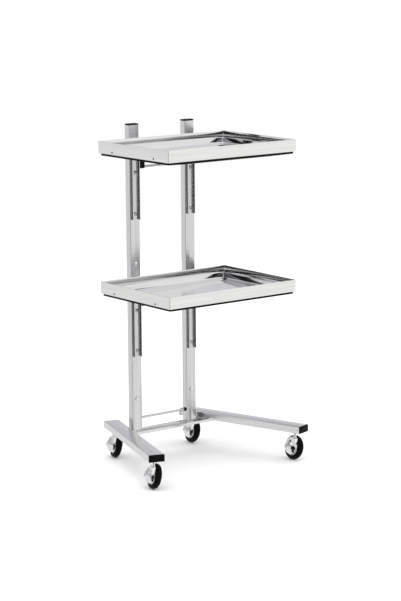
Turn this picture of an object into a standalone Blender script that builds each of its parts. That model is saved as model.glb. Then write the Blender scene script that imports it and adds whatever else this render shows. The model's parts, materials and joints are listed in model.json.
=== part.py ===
"""Instrument cart: two framed trays with lift-out pans, carried in front of twin posts
on a splayed base with four swivel casters.

Metres, +Z up.  +X is the cart's right, -Y its front.  The origin is on the floor,
under the middle of the cart's bounding box.
"""
import math

import bmesh
import bpy
from mathutils import Matrix, Vector

# ---------------------------------------------------------------- driving dimensions
CLEARANCE = 0.0003            # gap between two pieces that touch
HOLE_SIDES = 16
WELD_DISTANCE = 0.0001
OVERRUN = 0.010               # how far a cutter runs past the face it cuts through

# Shelf frames
TRAY_WIDTH = 0.510            # outside, left to right
TRAY_DEPTH = 0.379            # outside, front to back
SKIRT_HEIGHT = 0.039
FRAME_WALL = 0.0015
LEDGE_DROP = 0.021            # rim to the ledge that the pan sits on
LEDGE_WIDTH = 0.013
UPPER_RIM_Z = 1.078           # floor to the top of the upper rim
SHELF_PITCH = 0.457           # lower rim to upper rim

# Lift-out pans
PAN_SHEET = 0.0010
PAN_SIDE_GAP = 0.0010         # play between the pan's flange and the skirt
PAN_FLANGE = 0.0145           # outer edge of the flange to the top of the pan's wall
PAN_DEPTH = 0.0180            # flange to floor
PAN_DRAFT = 0.0030            # how far the wall leans in on its way down
PAN_CORNER_RADIUS = 0.012
PAN_EDGE_RADIUS = 0.003       # corners of the flange

# Black stiffening pans under the shelves
UNDER_PAN_SHEET = 0.0015
UNDER_PAN_DROP = 0.0115
UNDER_PAN_LIP = 0.0025        # upright edge round its mouth
UNDER_PAN_TOP_INSET = 0.004
UNDER_PAN_BOTTOM_INSET = 0.028
UNDER_PAN_TOP_RADIUS = 0.010
UNDER_PAN_BOTTOM_RADIUS = 0.060

# Posts
POST_WIDTH = 0.038
POST_DEPTH = 0.025
POST_WALL = 0.0015
POST_SPACING = 0.2245         # centre to centre
POST_TOP_ABOVE_RIM = 0.0415   # upper rim to the end of the tube
POST_CAP_THICKNESS = 0.0042
POST_CAP_PLUG = 0.012
SHELF_TO_POST = 0.0022        # rear skirt to the face of the posts

# Brackets, U-channels screwed to the posts and carrying the shelves
BRACKET_WIDTH = 0.0270
BRACKET_PROJECTION = 0.0165   # how far the upright channel stands off the post
BRACKET_SHEET = 0.0020
BRACKET_DROP = 0.2680         # rim to the bottom end of the upright channel
ARM_LENGTH = 0.250            # how far the arm reaches forward from the post
ARM_HEIGHT = 0.012
BRACKET_SCREW_DROPS = (0.1130, 0.2490)   # rim to each screw
SCREW_SHANK_RADIUS = 0.0030
SCREW_SHANK_LENGTH = 0.0090
SCREW_HEAD_RADIUS = 0.0060
SCREW_HEAD_HEIGHT = 0.0036
SCREW_SOCKET_RADIUS = 0.0020
SCREW_SOCKET_DEPTH = 0.0020
SCREW_CROWN = 0.68            # flat crown, as a share of the head's radius
SCREW_EDGE = 0.35             # upright edge, as a share of the head's height
SCREW_SIDES = 12

# Tie rods between the posts
ROD_RADIUS = 0.0040
ROD_DROP = 0.0975             # rim to the rod below each shelf
BASE_ROD_HEIGHT = 0.1400      # floor to the lowest rod
BLOCK_LENGTH = 0.0255         # black end block, along the rod
BLOCK_DEPTH = 0.0200
BLOCK_TOP_DROP = 0.0800       # rim to the top of the end block
BLOCK_BOTTOM_DROP = 0.1025    # rim to its underside
FERRULE_RADIUS = 0.0065
FERRULE_LENGTH = 0.0040
FERRULE_NOSE_RADIUS = 0.0055
FERRULE_NOSE_START = 0.0028
BLOCK_BEVEL = 0.0015
ROD_SIDES = 20

# Base
LEG_WIDTH = 0.0520
LEG_HEIGHT = 0.0235
LEG_WALL = 0.0015
LEG_LENGTH = 0.4890           # over both end caps
LEG_SPLAY = math.radians(17.9)
LEG_REAR_HALF_SPREAD = 0.1512 # centre plane to the middle of a leg's rear end
LEG_REAR_BEHIND_SHELF = 0.0993  # rear skirt to the middle of a leg's rear end
END_CAP_THICKNESS = 0.0040
END_CAP_PLUG = 0.0120
BAR_DEPTH = 0.0460
BAR_THICKNESS = 0.0100
BAR_PAST_LEG_MIDDLE = 0.0156  # how far each end runs out beyond the leg's centre line
BAR_FORWARD_OF_POSTS = 0.0045 # middle of the posts to the middle of the bar

# Casters.  Each hangs a wheel with a tilted axle under a chromed ball-shaped hood.
CASTER_INSET = 0.0360         # end of the leg to the swivel axis
CASTER_HEADINGS = {           # which way each caster trails, clockwise from the rear
    ("front", "left"): math.radians(15.0),
    ("front", "right"): math.radians(1.0),
    ("rear", "left"): math.radians(20.0),
    ("rear", "right"): math.radians(8.0),
}
WHEEL_RADIUS = 0.0410
CASTER_HEAD_ROOM = 0.0175     # top of the wheel to the underside of the legs
AXLE_TILT = math.radians(13.0)  # how far the axle rises towards the hood
AXLE_RADIUS = 0.0036
AXLE_HEAD_RADIUS = 0.0060
AXLE_HEAD_LENGTH = 0.0020
NECK_RADIUS = 0.0052
NECK_TOP_GAP = 0.0042         # underside of the leg to the top of the hood's neck
PIN_RADIUS = 0.0030
PIN_DEPTH = 0.0180            # length of the pin inside the neck
PIN_END_GAP = 0.0010          # room under the pin
STEM_FLANGE_RADIUS = 0.0100
STEM_FLANGE_EDGE = 0.0010
SPIGOT_RADIUS = 0.0050
SPIGOT_LENGTH = 0.0120
WHEEL_SIDES = 28
STEM_SIDES = 14

# ---------------------------------------------------------------- derived places
LEG_BOTTOM_Z = 2 * WHEEL_RADIUS + CASTER_HEAD_ROOM
LEG_TOP_Z = LEG_BOTTOM_Z + LEG_HEIGHT
LOWER_RIM_Z = UPPER_RIM_Z - SHELF_PITCH
POST_CENTRES = {"left": -POST_SPACING / 2, "right": POST_SPACING / 2}
SIDES = {"left": -1.0, "right": 1.0}
RIMS = {"upper": UPPER_RIM_Z, "lower": LOWER_RIM_Z}

# A caster's proportions follow its wheel
TYRE_HALF_WIDTH = 0.250 * WHEEL_RADIUS
TYRE_BORE_RADIUS = 0.675 * WHEEL_RADIUS
WHEEL_TRAIL = 0.380 * WHEEL_RADIUS    # swivel axis back to the middle of the wheel
WHEEL_ASIDE = 0.220 * WHEEL_RADIUS    # swivel axis sideways to the middle of the wheel
HOOD_RADIUS = 0.700 * WHEEL_RADIUS
HOOD_RISE = 0.590 * WHEEL_RADIUS      # hood's mouth to its crown, along the axle
HOOD_WALL = 0.040 * WHEEL_RADIUS
HOOD_MOUTH = TYRE_HALF_WIDTH + 0.035 * WHEEL_RADIUS
BOWL_GAP = 4 * CLEARANCE              # room between the hood and the bowl under it
HOOD_SKIRT = 0.150 * WHEEL_RADIUS     # how far the hood reaches below the axle
SHOULDER_FORWARD = 0.620 * WHEEL_RADIUS  # axle to the front of the hood's shoulder
SHOULDER_ASIDE = 0.250 * WHEEL_RADIUS    # swivel axis to the shoulder's outer side
SHOULDER_RISE = 0.745 * WHEEL_RADIUS     # axle to the top of the shoulder
TYRE_PROFILE = (                      # (radius, distance from the wheel's middle)
    (TYRE_BORE_RADIUS, TYRE_HALF_WIDTH),
    (0.840 * WHEEL_RADIUS, TYRE_HALF_WIDTH),
    (0.940 * WHEEL_RADIUS, 0.200 * WHEEL_RADIUS),
    (0.990 * WHEEL_RADIUS, 0.100 * WHEEL_RADIUS),
    (WHEEL_RADIUS, 0.0),
    (0.990 * WHEEL_RADIUS, -0.100 * WHEEL_RADIUS),
    (0.940 * WHEEL_RADIUS, -0.200 * WHEEL_RADIUS),
    (0.840 * WHEEL_RADIUS, -TYRE_HALF_WIDTH),
    (TYRE_BORE_RADIUS, -TYRE_HALF_WIDTH),
)
AXLE_HEIGHT = max(radius * math.cos(AXLE_TILT) - along * math.sin(AXLE_TILT)
                  for radius, along in TYRE_PROFILE)


def tyre_reach_back(heading):
    """How far a tyre reaches behind its swivel axis when the caster has this heading."""
    lean = math.cos(AXLE_TILT) * math.sin(heading)
    across = math.sqrt(1.0 - lean * lean)
    tread = max(along * lean + radius * across for radius, along in TYRE_PROFILE)
    return WHEEL_TRAIL * math.cos(heading) - WHEEL_ASIDE * math.sin(heading) + tread


# Front to back, measured from the front of the shelves until the origin is known
LEG_REAR_FROM_FRONT = TRAY_DEPTH + LEG_REAR_BEHIND_SHELF
REAR_SWIVEL_FROM_FRONT = LEG_REAR_FROM_FRONT - CASTER_INSET * math.cos(LEG_SPLAY)
WHEEL_BACK_FROM_FRONT = REAR_SWIVEL_FROM_FRONT + max(
    tyre_reach_back(heading) for (end, side), heading in CASTER_HEADINGS.items()
    if end == "rear")
LEG_BACK_FROM_FRONT = LEG_REAR_FROM_FRONT + LEG_WIDTH / 2 * math.sin(LEG_SPLAY)
OVERALL_DEPTH = max(WHEEL_BACK_FROM_FRONT, LEG_BACK_FROM_FRONT)
TRAY_FRONT_Y = -OVERALL_DEPTH / 2
TRAY_REAR_Y = TRAY_FRONT_Y + TRAY_DEPTH
TRAY_MIDDLE_Y = TRAY_FRONT_Y + TRAY_DEPTH / 2
POST_FACE_Y = TRAY_REAR_Y + SHELF_TO_POST
POST_MIDDLE_Y = POST_FACE_Y + POST_DEPTH / 2
BAR_MIDDLE_Y = POST_MIDDLE_Y - BAR_FORWARD_OF_POSTS
LEG_REAR_Y = TRAY_FRONT_Y + LEG_REAR_FROM_FRONT
POST_INNER_HALF = POST_SPACING / 2 - POST_WIDTH / 2

PARTS = "instrument_cart"
CUTTERS = "instrument_cart_cutters"


# ---------------------------------------------------------------- scene and materials
def clear_scene():
    for obj in list(bpy.data.objects):
        bpy.data.objects.remove(obj, do_unlink=True)
    for name in (PARTS, CUTTERS):
        group = bpy.data.collections.new(name)
        bpy.context.scene.collection.children.link(group)


def metal_or_plastic(name, colour, metallic, roughness):
    """A Principled material of one colour."""
    material = bpy.data.materials.new(name)
    material.use_nodes = True
    shader = material.node_tree.nodes["Principled BSDF"]
    shader.inputs["Base Color"].default_value = (*colour, 1.0)
    shader.inputs["Metallic"].default_value = metallic
    shader.inputs["Roughness"].default_value = roughness
    return material


def brushed_steel(name):
    return metal_or_plastic(name + "_steel", (0.74, 0.73, 0.74), 1.0, 0.32)


def polished_steel(name):
    return metal_or_plastic(name + "_polished", (0.80, 0.79, 0.82), 1.0, 0.12)


def chrome(name):
    return metal_or_plastic(name + "_chrome", (0.86, 0.86, 0.87), 1.0, 0.08)


def black_plastic(name):
    return metal_or_plastic(name + "_plastic", (0.020, 0.020, 0.022), 0.0, 0.50)


def black_rubber(name):
    return metal_or_plastic(name + "_rubber", (0.012, 0.012, 0.012), 0.0, 0.65)


# ---------------------------------------------------------------- shape helpers
def add_object(name, mesh, material=None, matrix=Matrix.Identity(4)):
    """Links a mesh as a part, or as a cutter when it has no material."""
    obj = bpy.data.objects.new(name, mesh)
    obj.matrix_world = matrix
    if material is None:
        bpy.data.collections[CUTTERS].objects.link(obj)
        obj.hide_render = True
        obj.display_type = "WIRE"
    else:
        bpy.data.collections[PARTS].objects.link(obj)
        mesh.materials.append(material)
    return obj


def mesh_from(bm, name):
    mesh = bpy.data.meshes.new(name)
    bm.to_mesh(mesh)
    bm.free()
    return mesh


def box(name, low, high, material=None, matrix=Matrix.Identity(4)):
    """A box between two corners, in the frame of matrix."""
    low = Vector(low)
    high = Vector(high)
    place = Matrix.Translation((low + high) / 2) @ Matrix.Diagonal((*(high - low), 1.0))
    bm = bmesh.new()
    bmesh.ops.create_cube(bm, size=1.0, matrix=place)
    return add_object(name, mesh_from(bm, name), material, matrix)


def cylinder(name, radius, start, end, segments, material=None, matrix=Matrix.Identity(4)):
    """A round bar from start to end, in the frame of matrix."""
    start = Vector(start)
    end = Vector(end)
    length = (end - start).length
    turn = Vector((0, 0, 1)).rotation_difference(end - start).to_matrix().to_4x4()
    place = Matrix.Translation((start + end) / 2) @ turn
    bm = bmesh.new()
    bmesh.ops.create_cone(bm, cap_ends=True, segments=segments, radius1=radius,
                          radius2=radius, depth=length, matrix=place)
    mesh = mesh_from(bm, name)
    smooth(mesh)
    return add_object(name, mesh, material, matrix)


def smooth(mesh):
    mesh.shade_smooth()
    mesh.set_sharp_from_angle(angle=math.radians(40))


def turned(name, profile, segments, material, matrix=Matrix.Identity(4)):
    """Turns a profile of (radius, height) points, listed from its top, about local Z."""
    bm = bmesh.new()
    points = [bm.verts.new((radius, 0.0, height)) for radius, height in profile]
    for upper, lower in zip(points, points[1:]):
        bm.edges.new((upper, lower))
    if profile[0][0] > 0.0 and profile[-1][0] > 0.0:
        bm.edges.new((points[-1], points[0]))
    obj = add_object(name, mesh_from(bm, name), material, matrix)
    screw = obj.modifiers.new("turn", "SCREW")
    screw.axis = "Z"
    screw.steps = segments
    screw.render_steps = segments
    screw.use_merge_vertices = True
    screw.merge_threshold = 0.00001
    screw.use_smooth_shade = True
    return obj


def boolean(obj, other, operation="DIFFERENCE"):
    modifier = obj.modifiers.new(operation.lower(), "BOOLEAN")
    modifier.operation = operation
    modifier.object = other
    modifier.solver = "EXACT"


def weld(obj):
    """Merges the points that several cuts leave next to each other."""
    modifier = obj.modifiers.new("weld", "WELD")
    modifier.merge_threshold = WELD_DISTANCE


def cut_box(obj, name, low, high, matrix=Matrix.Identity(4)):
    boolean(obj, box(name, low, high, matrix=matrix))


def cut_hole(obj, name, radius, start, end, segments=HOLE_SIDES, matrix=Matrix.Identity(4)):
    boolean(obj, cylinder(name, radius, start, end, segments, matrix=matrix))
    weld(obj)


def bevel(obj, width, segments=2):
    modifier = obj.modifiers.new("rounding", "BEVEL")
    modifier.width = width
    modifier.segments = segments
    modifier.limit_method = "ANGLE"
    modifier.angle_limit = math.radians(50)


def rounded_outline(width, depth, radius, z, centre_y, steps=5):
    """Points of a rectangle with round corners, anticlockwise seen from above."""
    corners = ((1, 1, 0.0), (-1, 1, 0.5), (-1, -1, 1.0), (1, -1, 1.5))
    points = []
    for side_x, side_y, quarter in corners:
        middle_x = side_x * (width / 2 - radius)
        middle_y = centre_y + side_y * (depth / 2 - radius)
        for step in range(steps + 1):
            angle = math.pi * (quarter + 0.5 * step / steps)
            x = middle_x + radius * math.cos(angle)
            y = middle_y + radius * math.sin(angle)
            points.append((x, y, z))
    return points


def dished_sheet(name, outlines, sheet, material):
    """Sheet metal drawn through outlines, from its outer edge in to its closed floor."""
    bm = bmesh.new()
    loops = [[bm.verts.new(point) for point in outline] for outline in outlines]
    for outer, inner in zip(loops, loops[1:]):
        count = len(outer)
        for i in range(count):
            j = (i + 1) % count
            bm.faces.new((outer[i], outer[j], inner[j], inner[i]))
    bm.faces.new(loops[-1])
    obj = add_object(name, mesh_from(bm, name), material)
    wall = obj.modifiers.new("sheet", "SOLIDIFY")
    wall.thickness = sheet
    wall.offset = 1.0
    wall.use_even_offset = True
    return obj


# ---------------------------------------------------------------- shelves
def shelf_frame(level, rim_z):
    """A skirt of folded sheet with an inner ledge for the pan and a return below."""
    name = level + "_tray_frame"
    half_x = TRAY_WIDTH / 2
    bottom_z = rim_z - SKIRT_HEIGHT
    ledge_z = rim_z - LEDGE_DROP
    frame = box(name, (-half_x, TRAY_FRONT_Y, bottom_z), (half_x, TRAY_REAR_Y, rim_z),
                brushed_steel(name))
    inner_x = half_x - FRAME_WALL
    front = TRAY_FRONT_Y + FRAME_WALL
    rear = TRAY_REAR_Y - FRAME_WALL
    cut_box(frame, name + "_well", (-inner_x, front, ledge_z),
            (inner_x, rear, rim_z + OVERRUN))
    cut_box(frame, name + "_channel", (-inner_x, front, bottom_z + FRAME_WALL),
            (inner_x, rear, ledge_z - FRAME_WALL))
    ledge_x = inner_x - LEDGE_WIDTH
    cut_box(frame, name + "_opening", (-ledge_x, front + LEDGE_WIDTH, bottom_z - OVERRUN),
            (ledge_x, rear - LEDGE_WIDTH, rim_z + OVERRUN))


def lift_out_pan(level, rim_z):
    """The polished pan, whose flange rests on the frame's ledge."""
    name = level + "_tray_pan"
    flange_z = rim_z - LEDGE_DROP + CLEARANCE
    gap = 2 * (FRAME_WALL + PAN_SIDE_GAP)
    width = TRAY_WIDTH - gap
    depth = TRAY_DEPTH - gap
    mouth = 2 * PAN_FLANGE
    floor = mouth + 2 * PAN_DRAFT
    corner = PAN_CORNER_RADIUS
    outlines = (
        rounded_outline(width, depth, PAN_EDGE_RADIUS, flange_z, TRAY_MIDDLE_Y),
        rounded_outline(width - mouth, depth - mouth, corner, flange_z, TRAY_MIDDLE_Y),
        rounded_outline(width - floor, depth - floor, corner, flange_z - PAN_DEPTH,
                        TRAY_MIDDLE_Y),
    )
    dished_sheet(name, outlines, PAN_SHEET, polished_steel(name))


def under_pan(level, rim_z):
    """The shallow black pan that closes the shelf from below."""
    name = level + "_under_pan"
    top_z = rim_z - SKIRT_HEIGHT - CLEARANCE
    top = 2 * UNDER_PAN_TOP_INSET
    bottom = 2 * UNDER_PAN_BOTTOM_INSET
    outlines = (
        rounded_outline(TRAY_WIDTH - top, TRAY_DEPTH - top, UNDER_PAN_TOP_RADIUS, top_z,
                        TRAY_MIDDLE_Y),
        rounded_outline(TRAY_WIDTH - top, TRAY_DEPTH - top, UNDER_PAN_TOP_RADIUS,
                        top_z - UNDER_PAN_LIP, TRAY_MIDDLE_Y),
        rounded_outline(TRAY_WIDTH - bottom, TRAY_DEPTH - bottom, UNDER_PAN_BOTTOM_RADIUS,
                        top_z - UNDER_PAN_DROP, TRAY_MIDDLE_Y),
    )
    dished_sheet(name, outlines, UNDER_PAN_SHEET, black_plastic(name))


# ---------------------------------------------------------------- posts and brackets
def screw_places(rim_z):
    return [rim_z - drop for drop in BRACKET_SCREW_DROPS]


def post(side, centre_x):
    """A rectangular tube standing on the cross bar."""
    name = side + "_post"
    top_z = UPPER_RIM_Z + POST_TOP_ABOVE_RIM
    low_x = centre_x - POST_WIDTH / 2
    high_x = centre_x + POST_WIDTH / 2
    tube = box(name, (low_x, POST_FACE_Y, LEG_BOTTOM_Z),
               (high_x, POST_FACE_Y + POST_DEPTH, top_z), brushed_steel(name))
    drill = None
    for level, rim_z in RIMS.items():
        for number, z in enumerate(screw_places(rim_z), start=1):
            hole = cylinder(f"{name}_{level}_hole_{number}", SCREW_SHANK_RADIUS + CLEARANCE,
                            (centre_x, POST_FACE_Y - OVERRUN, z),
                            (centre_x, POST_MIDDLE_Y, z), HOLE_SIDES)
            if drill is None:
                drill = hole
            else:
                boolean(drill, hole, "UNION")
    hollow = box(name + "_hollow",
                 (low_x + POST_WALL, POST_FACE_Y + POST_WALL, LEG_BOTTOM_Z - OVERRUN),
                 (high_x - POST_WALL, POST_FACE_Y + POST_DEPTH - POST_WALL,
                  top_z + OVERRUN))
    boolean(hollow, drill, "UNION")
    boolean(tube, hollow)
    weld(tube)


def post_cap(side, centre_x):
    """A black plug that closes a post's top."""
    name = side + "_post_cap"
    top_z = UPPER_RIM_Z + POST_TOP_ABOVE_RIM
    half_x = POST_WIDTH / 2
    half_y = POST_DEPTH / 2
    wall = POST_WALL + CLEARANCE
    cap = box(name, (centre_x - half_x, POST_MIDDLE_Y - half_y, top_z + CLEARANCE),
              (centre_x + half_x, POST_MIDDLE_Y + half_y,
               top_z + CLEARANCE + POST_CAP_THICKNESS), black_plastic(name))
    plug = box(name + "_plug",
               (centre_x - half_x + wall, POST_MIDDLE_Y - half_y + wall,
                top_z - POST_CAP_PLUG),
               (centre_x + half_x - wall, POST_MIDDLE_Y + half_y - wall,
                top_z + POST_CAP_THICKNESS / 2))
    boolean(cap, plug, "UNION")


def bracket(level, rim_z, side, centre_x):
    """An upright U-channel on the post with an arm reaching forward under the shelf."""
    name = f"{level}_{side}_bracket"
    half = BRACKET_WIDTH / 2
    inner = half - BRACKET_SHEET
    back_y = POST_FACE_Y - CLEARANCE
    top_z = rim_z - SKIRT_HEIGHT - UNDER_PAN_DROP - 2 * CLEARANCE
    bottom_z = rim_z - BRACKET_DROP
    arm_front_y = POST_FACE_Y - ARM_LENGTH
    web_y = back_y - BRACKET_SHEET
    channel = box(name, (centre_x - half, back_y - BRACKET_PROJECTION, bottom_z),
                  (centre_x + half, back_y, top_z), brushed_steel(name))
    arm = box(name + "_arm", (centre_x - half, arm_front_y, top_z - ARM_HEIGHT),
              (centre_x + half, back_y - BRACKET_SHEET, top_z))
    boolean(channel, arm, "UNION")
    cut_box(channel, name + "_upright_channel",
            (centre_x - inner, back_y - BRACKET_PROJECTION - OVERRUN, bottom_z - OVERRUN),
            (centre_x + inner, web_y, top_z - BRACKET_SHEET))
    cut_box(channel, name + "_arm_channel",
            (centre_x - inner, arm_front_y + BRACKET_SHEET, top_z - ARM_HEIGHT - OVERRUN),
            (centre_x + inner, web_y, top_z - BRACKET_SHEET))
    for number, z in enumerate(screw_places(rim_z), start=1):
        cut_hole(channel, f"{name}_hole_{number}", SCREW_SHANK_RADIUS + CLEARANCE,
                 (centre_x, web_y - OVERRUN / 2, z), (centre_x, back_y + OVERRUN / 2, z))
        bracket_screw(f"{name}_screw_{number}", centre_x, web_y, z)


def bracket_screw(name, x, web_y, z):
    """A button-head socket screw through the bracket's web into the post."""
    seat = -CLEARANCE
    crown = SCREW_HEAD_HEIGHT
    profile = (
        (0.0, crown - SCREW_SOCKET_DEPTH),
        (SCREW_SOCKET_RADIUS, crown - SCREW_SOCKET_DEPTH),
        (SCREW_SOCKET_RADIUS, crown),
        (SCREW_HEAD_RADIUS * SCREW_CROWN, crown),
        (SCREW_HEAD_RADIUS, crown * SCREW_EDGE),
        (SCREW_HEAD_RADIUS, 0.0),
        (SCREW_SHANK_RADIUS, 0.0),
        (SCREW_SHANK_RADIUS, -SCREW_SHANK_LENGTH),
        (0.0, -SCREW_SHANK_LENGTH),
    )
    facing_front = Matrix.Rotation(math.radians(90), 4, "X")
    place = Matrix.Translation((x, web_y + seat, z)) @ facing_front
    turned(name, profile, SCREW_SIDES, brushed_steel(name), place)


# ---------------------------------------------------------------- tie rods
def tie_rod(name, z):
    half = POST_INNER_HALF - CLEARANCE
    cylinder(name, ROD_RADIUS, (-half, POST_MIDDLE_Y, z), (half, POST_MIDDLE_Y, z),
             ROD_SIDES, polished_steel(name))


def end_block(name, side, rim_z):
    """A black moulding on a post's inner face that holds the end of a tie rod."""
    sign = SIDES[side]
    outer = sign * (POST_INNER_HALF - CLEARANCE)
    inner = sign * (POST_INNER_HALF - BLOCK_LENGTH)
    half = BLOCK_DEPTH / 2
    block = box(name, (min(outer, inner), POST_MIDDLE_Y - half, rim_z - BLOCK_BOTTOM_DROP),
                (max(outer, inner), POST_MIDDLE_Y + half, rim_z - BLOCK_TOP_DROP),
                black_plastic(name))
    bevel(block, BLOCK_BEVEL, 1)
    z = rim_z - ROD_DROP
    cut_hole(block, name + "_bore", ROD_RADIUS + CLEARANCE,
             (outer + sign * OVERRUN, POST_MIDDLE_Y, z),
             (inner - sign * OVERRUN, POST_MIDDLE_Y, z), ROD_SIDES)


def ferrule(name, side, z):
    """A black ring round a tie rod, against a post's inner face."""
    sign = SIDES[side]
    length = FERRULE_LENGTH
    bore = ROD_RADIUS + CLEARANCE
    profile = (
        (bore, length),
        (FERRULE_NOSE_RADIUS, length),
        (FERRULE_RADIUS, FERRULE_NOSE_START),
        (FERRULE_RADIUS, 0.0),
        (bore, 0.0),
    )
    inward = Matrix.Rotation(math.radians(-90 * sign), 4, "Y")
    place = Matrix.Translation((sign * (POST_INNER_HALF - CLEARANCE), POST_MIDDLE_Y, z))
    turned(name, profile, ROD_SIDES, black_plastic(name), place @ inward)


def tie_rods():
    for level, rim_z in RIMS.items():
        tie_rod(level + "_tie_rod", rim_z - ROD_DROP)
        for side in SIDES:
            end_block(f"{level}_tie_rod_{side}_block", side, rim_z)
    tie_rod("base_tie_rod", BASE_ROD_HEIGHT)
    for side in SIDES:
        ferrule(f"base_tie_rod_{side}_ferrule", side, BASE_ROD_HEIGHT)


# ---------------------------------------------------------------- base
def leg_frame(side):
    """Origin at the middle of a leg's rear end, on its underside; -Y runs to its front."""
    sign = SIDES[side]
    place = Matrix.Translation((sign * LEG_REAR_HALF_SPREAD, LEG_REAR_Y, LEG_BOTTOM_Z))
    return place @ Matrix.Rotation(sign * LEG_SPLAY, 4, "Z")


def leg(side):
    """A rectangular tube, closed by a black cap at each end."""
    name = side + "_leg"
    frame = leg_frame(side)
    half = LEG_WIDTH / 2
    rear = -END_CAP_THICKNESS - CLEARANCE
    front = -LEG_LENGTH + END_CAP_THICKNESS + CLEARANCE
    tube = box(name, (-half, front, 0), (half, rear, LEG_HEIGHT), brushed_steel(name), frame)
    cut_box(tube, name + "_hollow", (-half + LEG_WALL, front - OVERRUN, LEG_WALL),
            (half - LEG_WALL, rear + OVERRUN, LEG_HEIGHT - LEG_WALL), frame)
    for place, y in caster_stations():
        cut_hole(tube, f"{name}_{place}_stem_hole", SPIGOT_RADIUS + CLEARANCE,
                 (0, y, -OVERRUN), (0, y, LEG_HEIGHT / 2), ROD_SIDES, frame)
    end_cap(f"{name}_rear_cap", frame, 0.0, -1.0)
    end_cap(f"{name}_front_cap", frame, -LEG_LENGTH, 1.0)


def end_cap(name, frame, outer_y, inward):
    """A black cap whose plug fits inside the leg's tube."""
    half = LEG_WIDTH / 2
    wall = LEG_WALL + CLEARANCE
    face = outer_y + inward * END_CAP_THICKNESS
    tip = face + inward * END_CAP_PLUG
    root = outer_y + inward * END_CAP_THICKNESS / 2
    cap = box(name, (-half, min(outer_y, face), 0), (half, max(outer_y, face), LEG_HEIGHT),
              black_plastic(name), frame)
    plug = box(name + "_plug", (-half + wall, min(root, tip), wall),
               (half - wall, max(root, tip), LEG_HEIGHT - wall), matrix=frame)
    boolean(cap, plug, "UNION")


def caster_stations():
    """Where the swivel axes stand along a leg, in the leg's own frame."""
    return (("rear", -CASTER_INSET), ("front", -LEG_LENGTH + CASTER_INSET))


def cross_bar():
    """The flat bar under both legs that the posts stand on."""
    top_z = LEG_BOTTOM_Z - CLEARANCE
    behind = LEG_REAR_Y - BAR_MIDDLE_Y
    half_x = LEG_REAR_HALF_SPREAD + behind * math.tan(LEG_SPLAY) + BAR_PAST_LEG_MIDDLE
    name = "cross_bar"
    box(name, (-half_x, BAR_MIDDLE_Y - BAR_DEPTH / 2, top_z - BAR_THICKNESS),
        (half_x, BAR_MIDDLE_Y + BAR_DEPTH / 2, top_z), brushed_steel(name))


# ---------------------------------------------------------------- casters
def caster_frame(end, side, y):
    """Origin on the floor under the swivel axis; +Y trails and -X faces the hood."""
    foot = leg_frame(side) @ Vector((0, y, 0))
    foot.z = 0.0
    return Matrix.Translation(foot) @ Matrix.Rotation(-CASTER_HEADINGS[end, side], 4, "Z")


def stem(name, frame):
    """The pressed-in spigot, its flange under the leg and the pin it swivels on."""
    under_leg = LEG_BOTTOM_Z - CLEARANCE
    neck_top = LEG_BOTTOM_Z - NECK_TOP_GAP
    shoulder = neck_top + CLEARANCE
    profile = (
        (0.0, LEG_BOTTOM_Z + SPIGOT_LENGTH),
        (SPIGOT_RADIUS, LEG_BOTTOM_Z + SPIGOT_LENGTH),
        (SPIGOT_RADIUS, under_leg),
        (STEM_FLANGE_RADIUS, under_leg),
        (STEM_FLANGE_RADIUS, under_leg - STEM_FLANGE_EDGE),
        (NECK_RADIUS, shoulder),
        (PIN_RADIUS, shoulder),
        (PIN_RADIUS, neck_top - PIN_DEPTH),
        (0.0, neck_top - PIN_DEPTH),
    )
    turned(name, profile, STEM_SIDES, chrome(name), frame)


def wheel_frame(frame):
    """Origin at the middle of the wheel; local Z is the axle, pointing up at the hood."""
    place = Matrix.Translation((WHEEL_ASIDE, WHEEL_TRAIL, AXLE_HEIGHT))
    return frame @ place @ Matrix.Rotation(AXLE_TILT - math.radians(90), 4, "Y")


def crown_profile(radius, mouth, rise, bore):
    """Half an outline of a rounded cone, from its bored crown out to its mouth."""
    shape = ((0.160, 0.985), (0.370, 0.900), (0.600, 0.730), (0.800, 0.500),
             (0.930, 0.270), (1.000, 0.080), (1.000, 0.0))
    outline = [(bore, mouth + rise)]
    for share_out, share_up in shape:
        outline.append((max(radius * share_out, bore), mouth + rise * share_up))
    return outline


def hood(name, frame, middle):
    """The chromed hood: a ball-shaped cover over the upper half of the wheel's near face,
    a squared shoulder at its front and a neck round the swivel pin."""
    neck_top = LEG_BOTTOM_Z - NECK_TOP_GAP
    bore = AXLE_RADIUS + CLEARANCE
    outside = crown_profile(HOOD_RADIUS, HOOD_MOUTH, HOOD_RISE, bore)
    inside = crown_profile(HOOD_RADIUS - HOOD_WALL, HOOD_MOUTH, HOOD_RISE - HOOD_WALL, bore)
    cover = turned(name, outside + inside[::-1], WHEEL_SIDES, chrome(name), middle)
    shoulder = box(name + "_shoulder",
                   (-SHOULDER_ASIDE, WHEEL_TRAIL - SHOULDER_FORWARD, AXLE_HEIGHT),
                   (WHEEL_ASIDE, WHEEL_TRAIL, AXLE_HEIGHT + SHOULDER_RISE), matrix=frame)
    boolean(cover, shoulder, "UNION")
    reach = 2 * WHEEL_RADIUS
    cut_box(cover, name + "_mouth", (-reach, -reach, -reach), (reach, reach, HOOD_MOUTH),
            middle)
    room = turned(name + "_room", [(0.0, HOOD_MOUTH + HOOD_RISE - HOOD_WALL)] + inside[1:-1]
                  + [(HOOD_RADIUS - HOOD_WALL, 0.0), (0.0, 0.0)],
                  WHEEL_SIDES, None, middle)
    boolean(cover, room)
    cut_box(cover, name + "_underside", (-reach, -reach, 0), (-HOOD_SKIRT, reach, reach),
            middle)
    neck_foot = AXLE_HEIGHT + SHOULDER_RISE - CLEARANCE
    neck = cylinder(name + "_neck", NECK_RADIUS, (0, 0, neck_foot), (0, 0, neck_top),
                    STEM_SIDES, matrix=frame)
    boolean(cover, neck, "UNION")
    cut_hole(cover, name + "_pin_bore", PIN_RADIUS + CLEARANCE,
             (0, 0, neck_top - PIN_DEPTH - PIN_END_GAP), (0, 0, neck_top + OVERRUN),
             STEM_SIDES, frame)


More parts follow.
